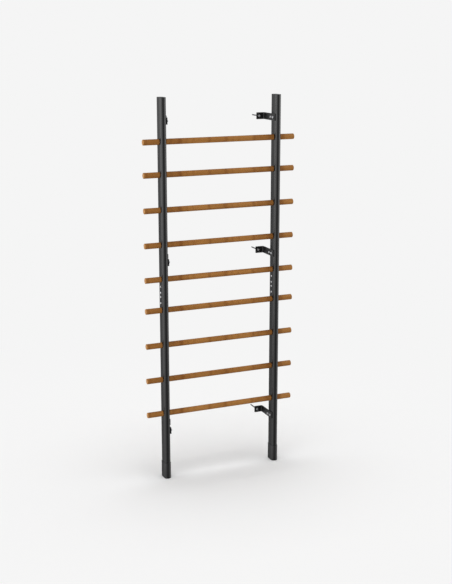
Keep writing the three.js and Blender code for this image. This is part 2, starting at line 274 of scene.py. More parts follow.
def bolt_shank(radius, length, chamfer):
    """Stations of a plain shank from its chamfered end up to its seat at height 0."""
    return [(0, -length), (radius - chamfer, -length), (radius, chamfer - length), (radius, 0)]


def hexagon_socket(key, top, floor, drill_point):
    """Stations of a socket for a hexagon key, from its round mouth down to the point of the drill. The key is
    half the size across flats."""
    mouth, lead_in = 1.2 * key, 0.35 * MM
    sides = [(key, top - lead_in, hexagon_form), (key, floor, hexagon_form)]
    return [(mouth, top), *sides, (0, floor - drill_point)]


def oval_swept(profile, centre, steps=24):
    """A flat-oval body from a profile of radius and height. Each station is a ring of two half circles of its
    radius about centres half the post's flat before and behind the middle, joined by straight sides."""
    angle = np.concatenate([np.linspace(-math.pi, 0, steps + 1), np.linspace(0, math.pi, steps + 1)])
    shift = np.repeat([-POST_FLAT / 2, POST_FLAT / 2], steps + 1)
    radius, height = (column[:, None] for column in np.asarray(profile).T)
    x = centre[0] + radius * np.cos(angle)
    y = centre[1] + shift + radius * np.sin(angle)
    points = np.stack([x, y, height + np.zeros_like(x)], axis=-1)
    return points.reshape(-1, 3), grid_quads(len(profile), len(angle), closed=True)


def lines(*runs):
    """Sorted grid lines out of several runs of values, each kept once to a ten-thousandth of a millimetre."""
    return np.unique(np.round(np.concatenate([np.atleast_1d(run) for run in runs]), 7))


def around(value, reach, steps):
    """Evenly spaced values from reach below to reach above a value."""
    return np.linspace(value - reach, value + reach, steps + 1)


def punched_sheet(across, along, holes, rings=2):
    """A flat sheet on the grid lines across and along, with round holes.

    A hole is its place across and along, its radius, and how far a window of whole cells round it reaches
    each way. The window's cells give way to rings of quads, whose points are (1 - t) * edge + t * circle
    with t from 0 to 1, where circle is the point of the hole's rim in the direction of the window's edge.
    """
    columns = len(across)
    points = [np.stack(np.meshgrid(across, along), axis=-1).reshape(-1, 2)]
    kept = np.ones((len(along) - 1, columns - 1), bool)
    quads = []
    total = len(points[0])
    for place, height, radius, reach_across, reach_along in holes:
        left, right = (np.argmin(np.abs(across - place - way * reach_across)) for way in (-1, 1))
        bottom, top = (np.argmin(np.abs(along - height - way * reach_along)) for way in (-1, 1))
        kept[bottom:top, left:right] = False
        edge = np.concatenate([
            bottom * columns + np.arange(left, right),
            np.arange(bottom, top) * columns + right,
            top * columns + np.arange(right, left, -1),
            np.arange(top, bottom, -1) * columns + left,
        ])
        centre = np.array([place, height])
        spoke = points[0][edge] - centre
        rim = centre + radius * spoke / np.linalg.norm(spoke, axis=1, keepdims=True)
        share = np.linspace(0, 1, rings + 1)[1:, None, None]
        points.append(((1 - share) * points[0][edge] + share * rim).reshape(-1, 2))
        ring = np.concatenate([edge, total + np.arange(rings * len(edge))])
        quads.append(ring[grid_quads(rings + 1, len(edge), closed=True)])
        total += rings * len(edge)
    quads.append(grid_quads(len(along), columns, closed=False)[kept.ravel()])
    quads = np.concatenate(quads)
    used, quads = np.unique(quads, return_inverse=True)
    return np.concatenate(points)[used], quads.reshape(-1, 4)


def flat_oval(distance):
    """The post's outline in plan at a distance along it, anticlockwise from the middle of its front.
    Its point (radius cos t, slide + radius sin t) turns round the ends and slides along the flats."""
    radius = POST_WIDTH / 2
    quarter = radius * math.pi / 2
    starts = np.cumsum([0, quarter, POST_FLAT, 2 * quarter, POST_FLAT])
    front, right, back, left, last = (distance - start for start in starts)
    turned_by = np.clip(front, 0, quarter) + np.clip(back, 0, 2 * quarter) + np.clip(last, 0, quarter)
    slide = np.clip(right, 0, POST_FLAT) - np.clip(left, 0, POST_FLAT) - POST_FLAT / 2
    turn = turned_by / radius - math.pi / 2
    return radius * np.cos(turn), slide + radius * np.sin(turn)


def bent_strip(distance, post_leg, radius):
    """A strip's outer face in plan at a distance along it: straight along +Y for the post leg, a quarter
    circle of the given radius, and straight along -X for the wall leg. It starts at the origin."""
    angle = np.clip((distance - post_leg) / radius, 0, math.pi / 2)
    past = np.maximum(distance - post_leg - radius * math.pi / 2, 0)
    x = radius * (np.cos(angle) - 1) - past
    y = np.minimum(distance, post_leg) + radius * np.sin(angle)
    return x, y


def merged_mesh(name, points, quads, crease=CREASE):
    """A smooth-shaded mesh from points and quads, with seams and poles closed by merging equal points.
    Edges that turn by more than the crease, in degrees, stay crisp."""
    mesh = bpy.data.meshes.new(name)
    mesh.vertices.add(len(points))
    mesh.vertices.foreach_set("co", np.ascontiguousarray(points, np.float32).ravel())
    mesh.loops.add(quads.size)
    mesh.loops.foreach_set("vertex_index", quads.astype(np.int32).ravel())
    mesh.polygons.add(len(quads))
    mesh.polygons.foreach_set("loop_start", np.arange(0, quads.size, 4, dtype=np.int32))
    mesh.polygons.foreach_set("use_smooth", np.ones(len(quads), bool))
    mesh.update(calc_edges=True)
    work = bmesh.new()
    work.from_mesh(mesh)
    bmesh.ops.remove_doubles(work, verts=work.verts, dist=0.002 * MM)
    work.to_mesh(mesh)
    work.free()
    mesh.set_sharp_from_angle(angle=math.radians(crease))
    return mesh


def vertex_places(mesh):
    """The places of a mesh's vertices, one row each."""
    places = np.empty(3 * len(mesh.vertices), np.float32)
    mesh.vertices.foreach_get("co", places)
    return places.reshape(-1, 3)


def set_values(mesh, name, values):
    """Gives a mesh a named value at each of its vertices."""
    mesh.attributes.new(name, "FLOAT", "POINT").data.foreach_set("value", values.astype(np.float32))


def shown(name, data):
    """A new object of the scene, at the origin."""
    thing = bpy.data.objects.new(name, data)
    bpy.context.scene.collection.objects.link(thing)
    return thing


def add_piece(name, mesh, slot, node=None):
    """Shows a mesh as a piece that rides on the frame, and stands for a solid where one is named."""
    piece = shown(name, mesh)
    mesh.materials.append(finish_of(slot))
    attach(piece, "root")
    if node:
        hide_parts(node)
    return piece


def thicken(piece, wall, edge):
    """Gives a sheet its wall, inwards from its face, and softens the cut edges."""
    solid = piece.modifiers.new("wall", "SOLIDIFY")
    solid.thickness = wall
    solid.offset = -1
    solid.use_even_offset = True
    bevel = piece.modifiers.new("edges", "BEVEL")
    bevel.width = edge
    bevel.segments = 2
    bevel.limit_method = "ANGLE"
    bevel.angle_limit = math.radians(50)
    bevel.harden_normals = True


# Finishes


def feed(socket, value):
    """Links a wire to a socket, or sets the socket's own value."""
    if isinstance(value, Wire):
        value.tree.links.new(value.socket, socket)
    else:
        socket.default_value = value


class Wire:
    """An output socket of a node tree. Sums of wires and numbers add Math nodes."""

    def __init__(self, tree, socket=None):
        self.tree = tree
        self.socket = socket

    def node(self, kind, settings=None, sockets=None, output=0):
        """Adds a node of a kind, sets its settings and then its sockets, and gives one of its outputs."""
        made = self.tree.nodes.new(kind)
        for key, value in (settings or {}).items():
            setattr(made, key, value)
        for key, value in (sockets or {}).items():
            feed(made.inputs[key], value)
        return Wire(self.tree, made.outputs[output])

    def math(self, operation, first, second=0.0):
        """A Math node on two values."""
        return self.node("ShaderNodeMath", {"operation": operation}, {0: first, 1: second})

    def __add__(self, other):
        return self.math("ADD", self, other)

    def __radd__(self, other):
        return self.math("ADD", other, self)

    def __sub__(self, other):
        return self.math("SUBTRACT", self, other)

    def __rsub__(self, other):
        return self.math("SUBTRACT", other, self)

    def __mul__(self, other):
        return self.math("MULTIPLY", self, other)

    def __rmul__(self, other):
        return self.math("MULTIPLY", other, self)

    def __truediv__(self, other):
        return self.math("DIVIDE", self, other)

    def __rtruediv__(self, other):
        return self.math("DIVIDE", other, self)

    def swing(self):
        """How far a noise or chance of 0 to 1 lies above or below its middle."""
        return self - 0.5

    def clamped(self, low, high):
        """The value, kept between two limits."""
        return self.node("ShaderNodeClamp", None, {0: self, 1: low, 2: high})

    def step(self, low, high):
        """A smooth step from 0 at low to 1 at high."""
        limits = {0: self, 1: low, 2: high, 3: 0.0, 4: 1.0}
        return self.node("ShaderNodeMapRange", {"interpolation_type": "SMOOTHSTEP"}, limits)

    def stretched(self, along, across):
        """A vector scaled along X and, alike, along Y and Z."""
        scales = (along, across, across)
        return self.node("ShaderNodeVectorMath", {"operation": "MULTIPLY"}, {0: self, 1: scales})

    def noise(self, scale=1.0, detail=2.0, roughness=0.5):
        """Noise over the vector, about 0 to 1."""
        return self.node(
            "ShaderNodeTexNoise", None,
            {"Vector": self, "Scale": scale, "Detail": detail, "Roughness": roughness})

    def parts(self):
        """The three parts of a vector."""
        split = self.node("ShaderNodeSeparateXYZ", None, {0: self}).socket.node
        return [Wire(self.tree, output) for output in split.outputs]

    def blend(self, first, second):
        """A colour between two, by the value."""
        return self.node("ShaderNodeMix", {"data_type": "RGBA"}, {0: self, 6: first, 7: second}, output=2)

    def shade(self, colour, darkest, lightest):
        """A colour times a factor between the darkest and the lightest, by the value."""
        return self.blend(solid_colour(colour, darkest), solid_colour(colour, lightest))


def solid_colour(colour, factor=1.0):
    """A colour with its alpha, made lighter or darker by a factor."""
    return (*(min(1.0, factor * part) for part in colour), 1.0)


class Finish:
    """A material with one Principled shader, whose sockets take numbers, colours or wires."""

    def __init__(self, name):
        self.material = bpy.data.materials.new(name)
        self.material.use_nodes = True
        self.tree = self.material.node_tree
        self.shader = self.tree.nodes["Principled BSDF"]
        self.wire = Wire(self.tree)

    def place(self):
        """Object coordinates, which are metres in the part's own frame."""
        return self.wire.node("ShaderNodeTexCoord", output="Object")

    def attribute(self, name, output):
        """A value that the mesh carries at its points."""
        return self.wire.node("ShaderNodeAttribute", {"attribute_name": name}, output=output)

    def set(self, **sockets):
        """Sets or links the shader's sockets. An underscore stands for a space in their names."""
        for key, value in sockets.items():
            feed(self.shader.inputs[key.replace("_", " ")], value)

    def surface(self, shader):
        """Shows another shader in place of the Principled one alone."""
        feed(self.tree.nodes["Material Output"].inputs["Surface"], shader)

    def bump(self, height, distance, strength):
        """Raises the surface by a height of 0 to 1 times a distance."""
        self.set(Normal=self.wire.node(
            "ShaderNodeBump", None, {"Height": height, "Distance": distance, "Strength": strength}))


def powder_coat(name, colour, roughness):
    """Satin powder coat: faint clouds in its tone, and a fine orange-peel skin that breaks up the gloss."""
    finish = Finish(name)
    place = finish.place()
    clouds = place.noise(scale=9.0, detail=4.0)
    skin = place.noise(scale=650.0)
    finish.set(
        Base_Color=clouds.shade(colour, darkest=0.75, lightest=1.25),
        Roughness=roughness + 0.12 * clouds.swing() + 0.06 * skin.swing())
    finish.bump(skin, distance=0.05 * MM, strength=0.35)
    return finish.material


def moulded_plastic(name, colour, roughness):
    """Moulded plastic with a fine spark-eroded grain."""
    finish = Finish(name)
    place = finish.place()
    grain = place.noise(scale=1400.0, detail=1.0)
    clouds = place.noise(scale=14.0, detail=3.0)
    finish.set(
        Base_Color=clouds.shade(colour, darkest=0.8, lightest=1.2),
        Roughness=roughness + 0.1 * grain.swing() + 0.08 * clouds.swing())
    finish.bump(grain, distance=0.04 * MM, strength=0.5)
    return finish.material


def plated_steel(name, colour, dull_colour, roughness, metallic):
    """Zinc plate or bare steel: a cloudy tone, with fine draw marks in the gloss. A passivated plate is only
    partly metallic. The mesh says how far the finish takes the dull colour, from 0 to 1."""
    finish = Finish(name)
    place = finish.place()
    clouds = place.noise(scale=160.0, detail=3.0)
    marks = place.noise(scale=2600.0, detail=1.0)
    clean = clouds.shade(colour, darkest=0.82, lightest=1.12)
    finish.set(
        Base_Color=finish.attribute("dull", "Fac").blend(clean, solid_colour(dull_colour)),
        Roughness=roughness + 0.16 * clouds.swing() + 0.06 * marks.swing(),
        Metallic=metallic)
    finish.bump(marks, distance=0.01 * MM, strength=0.4)
    return finish.material


# Growth-joint bands and darker stretches along a rung: the place of each from the rung's middle, how far it
# reaches either side, and how dark it is. The broad stretches at -0.445, -0.290 and 0.270, and the bands at
# 0.331 and 0.412 either side of the right post, are painted shade where the posts shade the rung
JOINTS_AND_POST_SHADE = (
    (-0.480, 0.015, 0.45),
    (-0.445, 0.080, 0.36),
    (-0.325, 0.018, 0.30),
    (-0.290, 0.085, 0.48),
    (-0.267, 0.022, 0.50),
    (-0.222, 0.016, 0.26),
    (-0.182, 0.014, 0.24),
    (-0.076, 0.018, 0.52),
    (0.000, 0.110, 0.20),
    (0.033, 0.024, 0.46),
    (0.075, 0.014, 0.24),
    (0.117, 0.012, 0.22),
    (0.221, 0.016, 0.46),
    (0.270, 0.080, 0.42),
    (0.331, 0.040, 0.66),
    (0.412, 0.030, 0.66),
)
# How far a band is out of line from strip to strip, and how far it wanders within a strip
BAND_SHIFT = 0.010
BAND_WANDER = 0.008
STRIP_WIDTH = 0.013
# From one rung to the next, the grain turns by this angle and moves on by this distance
GRAIN_TURN = 2.4
GRAIN_SHIFT = 0.31


def oiled_wood(name, colours, roughness):
    """Oiled rungs of long strips glued side by side. Fine fibres run along a strip, its tone is its own and
    darker growth-joint bands cross it; the broad bands beside the posts are painted shade. The pattern fills
    the wood, so that the cut ends show the fibres end on."""
    finish = Finish(name)
    place = finish.attribute("grain", "Vector")
    cut = finish.attribute("cut_end", "Fac")
    along, across, _ = place.parts()
    strip = finish.wire.math("FLOOR", across / STRIP_WIDTH)
    chance = finish.wire.node("ShaderNodeTexWhiteNoise", {"noise_dimensions": "1D"}, {"W": strip})
    wander = place.stretched(along=20.0, across=160.0).noise()
    spot = along + BAND_SHIFT * chance.swing() + BAND_WANDER * wander.swing()
    # Dark bands across the rung: growth joints, and painted shade beside the posts
    joints_and_shade = sum(
        depth * finish.wire.math("ABSOLUTE", spot - joint).step(reach, 0.0) for joint, reach, depth in JOINTS_AND_POST_SHADE)
    fibres = place.stretched(along=5.0, across=900.0).noise(detail=3.0, roughness=0.6)
    streaks = place.stretched(along=2.5, across=170.0).noise(detail=3.0)
    drift = place.stretched(along=9.0, across=30.0).noise()
    tones = 1.9 * fibres.swing() + 0.8 * streaks.swing() + 0.5 * drift.swing() + 0.35 * chance.swing()
    wood = (0.5 + tones).blend(solid_colour(colours.wood_dark), solid_colour(colours.wood_light))
    banded_and_shaded = (joints_and_shade * (0.55 + 0.5 * fibres)).blend(wood, solid_colour(colours.wood_joint_and_shade))
    end_on = cut * (0.75 - 1.5 * fibres.swing())
    finish.set(
        Base_Color=end_on.blend(banded_and_shaded, solid_colour(colours.wood_end)),
        Roughness=roughness + 0.22 * fibres.swing() + 0.12 * cut,
        Specular_IOR_Level=0.12)
    finish.bump(fibres, distance=0.06 * MM, strength=0.5)
    return finish.material


def finish_of(slot):
    """The material for one of the record's slots, made when first asked for."""
    name = f"{slot}_finish"
    if name in bpy.data.materials:
        return bpy.data.materials[name]
    colours = bpy.context.scene.bar_colours
    makers = {
        "charcoal_powder_coat": lambda: powder_coat(name, colours.charcoal, roughness=0.17),
        "black_powder_coat": lambda: powder_coat(name, colours.black, roughness=0.38),
        "black_plastic": lambda: moulded_plastic(name, colours.plastic, roughness=0.42),
        "oiled_wood": lambda: oiled_wood(name, colours, roughness=0.5),
        "zinc_steel": lambda: plated_steel(
            name, colours.zinc, colours.dull_zinc, roughness=0.34, metallic=0.5),
        "bare_steel": lambda: plated_steel(
            name, colours.steel, colours.dull_zinc, roughness=0.42, metallic=1.0),
    }
    return makers[slot]()


# Pieces


class Undoable:
    """Lets a user take an operator's work back."""

    bl_options = {"REGISTER", "UNDO"}


class WALLBARS_OT_posts(Undoable, bpy.types.Operator):
    """Makes the four post tubes with their holes"""

    bl_idname = "wallbars.posts"
    bl_label = "Post tubes"

    def execute(self, context):
        for side in SIDES:
            for tube in TUBES:
                self.tube(side, f"{side}_post_{tube}", context.scene.bar_sizes)
        return {"FINISHED"}

    def tube(self, side, node, sizes):
        """A sheet as wide as the post's outline is long and as high as the tube, punched and then rolled up
        by bending its width along the outline."""
        low, high = extent(node)
        quarter = POST_WIDTH * math.pi / 4
        right_flat = quarter + POST_FLAT / 2
        back = quarter + POST_FLAT + quarter
        left_flat = 2 * back - right_flat
        cell = POST_FLAT / FLAT_CELLS
        roll = quarter / QUARTER_CELLS
        holes, rows = [], [low[2], high[2]]

        def punch(place, height, diameter, reach_across, reach_along):
            if low[2] < height < high[2]:
                holes.append((place, height, diameter / 2, reach_across, reach_along))
                rows.extend(around(height, reach_along, round(2 * reach_along / cell)))

        for number in RUNGS:
            height = middle(f"rung_{number}")[2]
            for flat in (right_flat, left_flat):
                punch(flat, height, RUNG_DIAMETER + 2 * sizes.rung_play, POST_FLAT / 2, POST_FLAT / 2)
            punch(back, height, sizes.screw_hole, 2 * roll, 2 * cell)
        for number in SPLICE_BOLTS:
            height = middle(f"{side}_splice_bolt_{number}")[2]
            punch(left_flat, height, sizes.bolt_hole, 3 * cell, 3 * cell)
        for level in LEVELS:
            for place in BOLT_PLACES:
                _, y, height = middle(f"{side}_{level}_bracket_bolt_{place}")
                inner = right_flat + (y - POST_Y) if side == "left" else left_flat - (y - POST_Y)
                punch(inner, height, sizes.bolt_hole, 2 * cell, 2 * cell)
        first_quarter = np.linspace(0, quarter, QUARTER_CELLS + 1)
        across = lines(
            first_quarter, around(right_flat, POST_FLAT / 2, FLAT_CELLS),
            around(back, quarter, 2 * QUARTER_CELLS),
            around(left_flat, POST_FLAT / 2, FLAT_CELLS), 2 * back - first_quarter)
        sheet, quads = punched_sheet(across, lines(rows), holes)
        x, y = flat_oval(sheet[:, 0])
        centre = middle(node)
        points = np.stack([centre[0] + x, centre[1] + y, sheet[:, 1]], axis=1)
        piece = add_piece(f"{node}_tube", merged_mesh(node, points, quads), "charcoal_powder_coat", node)
        thicken(piece, sizes.tube_wall, sizes.tube_edge)


def add_mouldings(kind, profile_of, sizes):
    """Adds a plastic piece to each post, swept from the profile that a function gives for the piece's box."""
    for side in SIDES:
        node = f"{side}_{kind}"
        profile = profile_of(*extent(node), sizes)
        mesh = merged_mesh(node, *oval_swept(profile, middle(node)))
        add_piece(f"{node}_moulding", mesh, "black_plastic", node)


class WALLBARS_OT_feet(Undoable, bpy.types.Operator):
    """Makes the two foot sleeves"""

    bl_idname = "wallbars.feet"
    bl_label = "Foot sleeves"

    def execute(self, context):
        add_mouldings("foot_sleeve", self.profile, context.scene.bar_sizes)
        return {"FINISHED"}

    def profile(self, low, high, sizes):
        """From the middle of the sole out, up the outside, over the round lip and down the inside."""
        outer = (high[0] - low[0]) / 2
        inner = outer - sizes.foot_wall
        lip = sizes.foot_wall / 2
        edge = sizes.foot_edge
        return np.concatenate([
            [(0, low[2])],
            arc(outer - edge, low[2] + edge, edge, -90, 0),
            arc(outer - lip, high[2] - lip, lip, 0, 180, steps=8),
            [(inner, low[2] + sizes.foot_sole), (0, low[2] + sizes.foot_sole)],
        ])


class WALLBARS_OT_caps(Undoable, bpy.types.Operator):
    """Makes the two top caps"""

    bl_idname = "wallbars.caps"
    bl_label = "Top caps"

    def execute(self, context):
        add_mouldings("top_cap", self.profile, context.scene.bar_sizes)
        return {"FINISHED"}

    def profile(self, low, high, sizes):
        """From the middle of the underside out, round the hollow plug and over the flange to the top."""
        rim = (high[0] - low[0]) / 2
        plug = rim - sizes.cap_plug_inset
        bore = plug - sizes.cap_plug_wall
        seat = high[2] - sizes.cap_flange
        edge = sizes.cap_edge
        lower_edge = edge / 4
        return np.concatenate([
            [(0, seat), (bore, seat), (bore, low[2]), (plug, low[2]), (plug, seat)],
            arc(rim - lower_edge, seat + lower_edge, lower_edge, -90, 0, steps=2),
            arc(rim - edge, high[2] - edge, edge, 0, 90),
            [(0, high[2])],
        ])


class WALLBARS_OT_rungs(Undoable, bpy.types.Operator):
    """Makes the rungs, each with its own piece of grain"""

    bl_idname = "wallbars.rungs"
    bl_label = "Rungs"

    def execute(self, context):
        half, radius = RUNG_LENGTH / 2, RUNG_DIAMETER / 2
        edge = context.scene.bar_sizes.rung_edge
        right_end = arc(radius - edge, half - edge, edge, 0, 90)
        left_end = right_end[::-1] * (1, -1)
        profile = np.concatenate([[(0, -half)], left_end, right_end, [(0, half)]])
        grids = formed(profile, RUNG_SIDES)
        for number in RUNGS:
            node = f"rung_{number}"
            mesh = merged_mesh(node, *turned(*grids, middle(node), RIGHTWARDS))
            self.set_grain(mesh, middle(node), number)
            add_piece(f"{node}_wood", mesh, "oiled_wood", node)
        return {"FINISHED"}

    def set_grain(self, mesh, centre, number):
        """Where each point lies in the plank that a rung was turned from: its place along the rung, and its
        place across, turned about the axis and moved on to strips of its own. The flat ends are cut."""
        place = vertex_places(mesh) - centre
        angle = GRAIN_TURN * number
        across = place[:, 1] * math.cos(angle) - place[:, 2] * math.sin(angle) + GRAIN_SHIFT * number
        through = place[:, 1] * math.sin(angle) + place[:, 2] * math.cos(angle)
        grain = np.stack([place[:, 0], across, through], axis=1)
        cut = np.abs(place[:, 0]) > RUNG_LENGTH / 2 - 0.1 * MM
        mesh.attributes.new("grain", "FLOAT_VECTOR", "POINT").data.foreach_set(
            "vector", grain.astype(np.float32).ravel())
        set_values(mesh, "cut_end", cut)


class WALLBARS_OT_brackets(Undoable, bpy.types.Operator):
    """Makes the six bent wall brackets"""

    bl_idname = "wallbars.brackets"
    bl_label = "Wall brackets"

    def execute(self, context):
        for side, name in BRACKETS:
            self.bracket(side, name, context.scene.bar_sizes)
        return {"FINISHED"}

    def bracket(self, side, name, sizes):
        """A punched strip with rounded ends, bent along its path. Towards an end the strip's half height h
        shrinks to h - r + sqrt(r^2 - (r - d)^2), where d is the distance from the end and r the corner."""
        node = f"{name}_bracket"
        low, high = extent(node)
        inward = 1 if side == "left" else -1
        face = low[0] if side == "left" else high[0]
        bend = sizes.bend_radius + sizes.bracket_thickness
        quarter = bend * math.pi / 2
        post_leg = high[1] - low[1] - bend
        wall_leg = high[0] - low[0] - bend
        total = post_leg + quarter + wall_leg
        places = [middle(f"{name}_bracket_bolt_{place}")[1] - low[1] for place in BOLT_PLACES]
        places.append(total - wall_leg + inward * (middle(f"{name}_wall_screw")[0] - face) - bend)
        window, cells, bend_steps, corner_steps = 8 * MM, 8, 8, 6
        corner = sizes.bracket_corner
        rounding = corner * (1 - np.cos(np.linspace(0, math.pi / 2, corner_steps + 1)))
        half = (high[2] - low[2]) / 2
        across = lines(
            rounding, total - rounding, post_leg + np.linspace(0, quarter, bend_steps + 1),
            *(around(place, window, cells) for place in places))
        along = lines(-half, half, around(0, window, cells))
        holes = [(place, 0, sizes.bolt_hole / 2, window, window) for place in places]
        sheet, quads = punched_sheet(across, along, holes, rings=3)
        distance = sheet[:, 0]
        inset = corner - np.minimum(np.minimum(distance, total - distance), corner)
        height = sheet[:, 1] * (half - corner + np.sqrt(corner**2 - inset**2)) / half
        x, y = bent_strip(distance, post_leg, bend)
        points = np.stack([face - inward * x, low[1] + y, middle(node)[2] - inward * height], axis=1)
        piece = add_piece(f"{node}_plate", merged_mesh(node, points, quads), "black_powder_coat", node)
        thicken(piece, sizes.bracket_thickness, sizes.bracket_edge)


class WALLBARS_OT_splice_bolts(Undoable, bpy.types.Operator):
    """Makes the button-head bolts of the splices"""

    bl_idname = "wallbars.splice_bolts"
    bl_label = "Splice bolts"

    def execute(self, context):
        sizes = context.scene.bar_sizes
        for side in SIDES:
            for number in SPLICE_BOLTS:
                node = f"{side}_splice_bolt_{number}"
                seat, length, radius = seat_of(node, LEFTWARDS, sizes.splice_head)
                body = turned(*formed(self.stations(length, radius, sizes), BOLT_SIDES), seat, LEFTWARDS)
                add_piece(f"{node}_button", merged_mesh(node, *body, HEAD_CREASE), "zinc_steel", node)
        return {"FINISHED"}

    def stations(self, length, radius, sizes):
        """A shank, and a domed head with a hexagon socket."""
        key, head = sizes.splice_socket / 2, sizes.splice_head
        return [
            *bolt_shank(sizes.shank / 2, length, chamfer=0.6 * MM),
            (0.98 * radius, 0),
            *dome(radius, head, 4, 62, steps=8),
            *hexagon_socket(key, head, floor=0.4 * head, drill_point=0.5 * MM),
        ]


class WALLBARS_OT_bracket_bolts(Undoable, bpy.types.Operator):
    """Makes the socket-head bolts of the brackets"""

    bl_idname = "wallbars.bracket_bolts"
    bl_label = "Bracket bolts"

    def execute(self, context):
        sizes = context.scene.bar_sizes
        for side, name in BRACKETS:
            for place in BOLT_PLACES:
                self.bolt(side, f"{name}_bracket_bolt_{place}", sizes)
        return {"FINISHED"}

    def bolt(self, side, node, sizes):
        """A body turned about X, its head towards the other post."""
        axis = RIGHTWARDS if side == "left" else LEFTWARDS
        seat, length, radius = seat_of(node, axis, sizes.bracket_head)
        body = turned(*formed(self.stations(length, radius, sizes), KNURLED_SIDES), seat, axis)
        add_piece(f"{node}_cap_screw", merged_mesh(node, *body, HEAD_CREASE), "zinc_steel", node)

    def stations(self, length, radius, sizes):
        """A shank, and a knurled head with a chamfer and a hexagon socket."""
        key, head, chamfer = sizes.bracket_socket / 2, sizes.bracket_head, 0.8 * MM
        grip = radius / knurled_form(np.zeros(1))[0]
        neck = 0.98 * grip
        return [
            *bolt_shank(sizes.shank / 2, length, chamfer),
            (0.95 * grip, 0),
            (grip, 0.05 * head, knurled_form), (grip, head - 1.6 * chamfer, knurled_form),
            (neck, head - 1.4 * chamfer), (neck, head - chamfer),
            (grip - 0.6 * chamfer, head - 0.25 * chamfer), (grip - chamfer, head),
            *hexagon_socket(key, head, floor=head / 2, drill_point=0.6 * MM),
        ]


class WALLBARS_OT_wall_screws(Undoable, bpy.types.Operator):
    """Makes the threaded wall screws"""

    bl_idname = "wallbars.wall_screws"
    bl_label = "Wall screws"

    def execute(self, context):
        sizes = context.scene.bar_sizes
        head_dulling = context.scene.bar_colours.head_dulling
        for _, name in BRACKETS:
            node = f"{name}_wall_screw"
            seat, length, _ = seat_of(node, FORWARDS, sizes.wall_head)
            mesh = merged_mesh(node, *turned(*self.grids(length, sizes), seat, FORWARDS), THREAD_CREASE)
            # The threads take the darker tone in full, the heads in part
            set_values(mesh, "dull", np.where(vertex_places(mesh)[:, 1] > seat[1], 1, head_dulling))
            add_piece(f"{node}_threaded", mesh, "zinc_steel", node)
        return {"FINISHED"}

    def grids(self, length, sizes):
        """The shank from its tip up, then the hexagon head. The thread's radius at height h and turn t is the
        core's plus the thread's depth times a ridge, which peaks where h / pitch - t / 2 pi is half way
        between whole numbers. A power of the distance from the tip draws it in to a point."""
        ridge_slope, rows_per_pitch = 2.6, 10
        point_length, point_power, runout_length = 9 * MM, 0.7, 4 * MM
        turn = turn_of(BOLT_SIDES)
        shank, key, head, pitch = sizes.shank / 2, sizes.wall_key / 2, sizes.wall_head, sizes.thread_pitch
        height = np.arange(0, sizes.thread_length, pitch / rows_per_pitch)[1:, None] - length
        phase = (height / pitch - turn / (2 * math.pi)) % 1
        ridge = np.clip(1 - ridge_slope * np.abs(phase - 0.5), 0, 1)
        point = np.clip((height + length) / point_length, 0, 1) ** point_power
        runout = np.clip((sizes.thread_length - length - height) / runout_length, 0, 1)
        thread = point * (shank - sizes.thread_depth * (1 - ridge) * runout)
        tip = formed([(0, -length)], BOLT_SIDES)
        rest = formed([
            (shank, 0.5 * MM + sizes.thread_length - length), (shank, 0),
            (0.98 * key, 0, hexagon_form), (key, 0.3 * MM, hexagon_form), (key, 0.86 * head, hexagon_form),
            (0.97 * key, 0.97 * head), (0.9 * key, head), (0, head),
        ], BOLT_SIDES)
        radius = np.concatenate([tip[0], thread, rest[0]])
        return radius, np.concatenate([tip[1], height + np.zeros_like(thread), rest[1]])


class WALLBARS_OT_rung_screws(Undoable, bpy.types.Operator):
    """Makes the screws behind both posts that lock the rungs"""

    bl_idname = "wallbars.rung_screws"
    bl_label = "Rung screws"

    def execute(self, context):
        sizes = context.scene.bar_sizes
        for number in RUNGS:
            node = f"rung_screw_{number}"
            seat, length, radius = seat_of(node, WALLWARDS, sizes.rung_screw_head)
            grids = formed(self.stations(length, radius, sizes), BOLT_SIDES)
            for side in SIDES:
                seat[0] = middle(f"{side}_post_upper")[0]
                mesh = merged_mesh(f"{side}_{node}", *turned(*grids, seat, WALLWARDS), HEAD_CREASE)
                stands_for = node if side == "left" else None
                add_piece(f"{side}_{node}_pan", mesh, "zinc_steel", stands_for)
        return {"FINISHED"}

    def stations(self, length, radius, sizes):
        """A pointed shank and a domed pan head with a six-lobed recess."""
        shank, head = sizes.rung_screw_shank / 2, sizes.rung_screw_head
        key, floor, point_length = 0.36 * radius, 0.35 * head, 10 * MM
        return [
            (0, -length), (shank, point_length - length), (shank, 0), (0.97 * radius, 0),
            *dome(radius, head, 5, 65, steps=6),
            (key, 0.97 * head, lobed_form), (key, floor, lobed_form), (0, floor - 0.3 * MM),
        ]


class WALLBARS_OT_sleeves(Undoable, bpy.types.Operator):
    """Finishes the splice sleeves inside the posts"""

    bl_idname = "wallbars.sleeves"
    bl_label = "Splice sleeves"

    def execute(self, context):
        for side in SIDES:
            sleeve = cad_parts[f"{side}_splice_sleeve"]
            sleeve.data.materials.clear()
            sleeve.data.materials.append(finish_of("bare_steel"))
        return {"FINISHED"}


# Stage

CAMERA_PLACE = (-2.5752, -6.1410, 2.7781)
CAMERA_PITCH = math.radians(90 - 13.710)
CAMERA_YAW = math.radians(-23.368)
CAMERA_LENS = 66.65

# The floor's size, and the distances from the part between which it melts into the backdrop
FLOOR_REACH = 30.0
FLOOR_MELTS = (1.6, 3.2)

# The tent's size and facets, the heights between which its sides get brighter, and where they start to fade,
# as shares of the radius
TENT_RADIUS = 12.0
TENT_RINGS = 32
TENT_SIDES = 64
TENT_SLOPE_HEIGHTS = (-0.5, 0.15)
TENT_FADE_START = -0.15


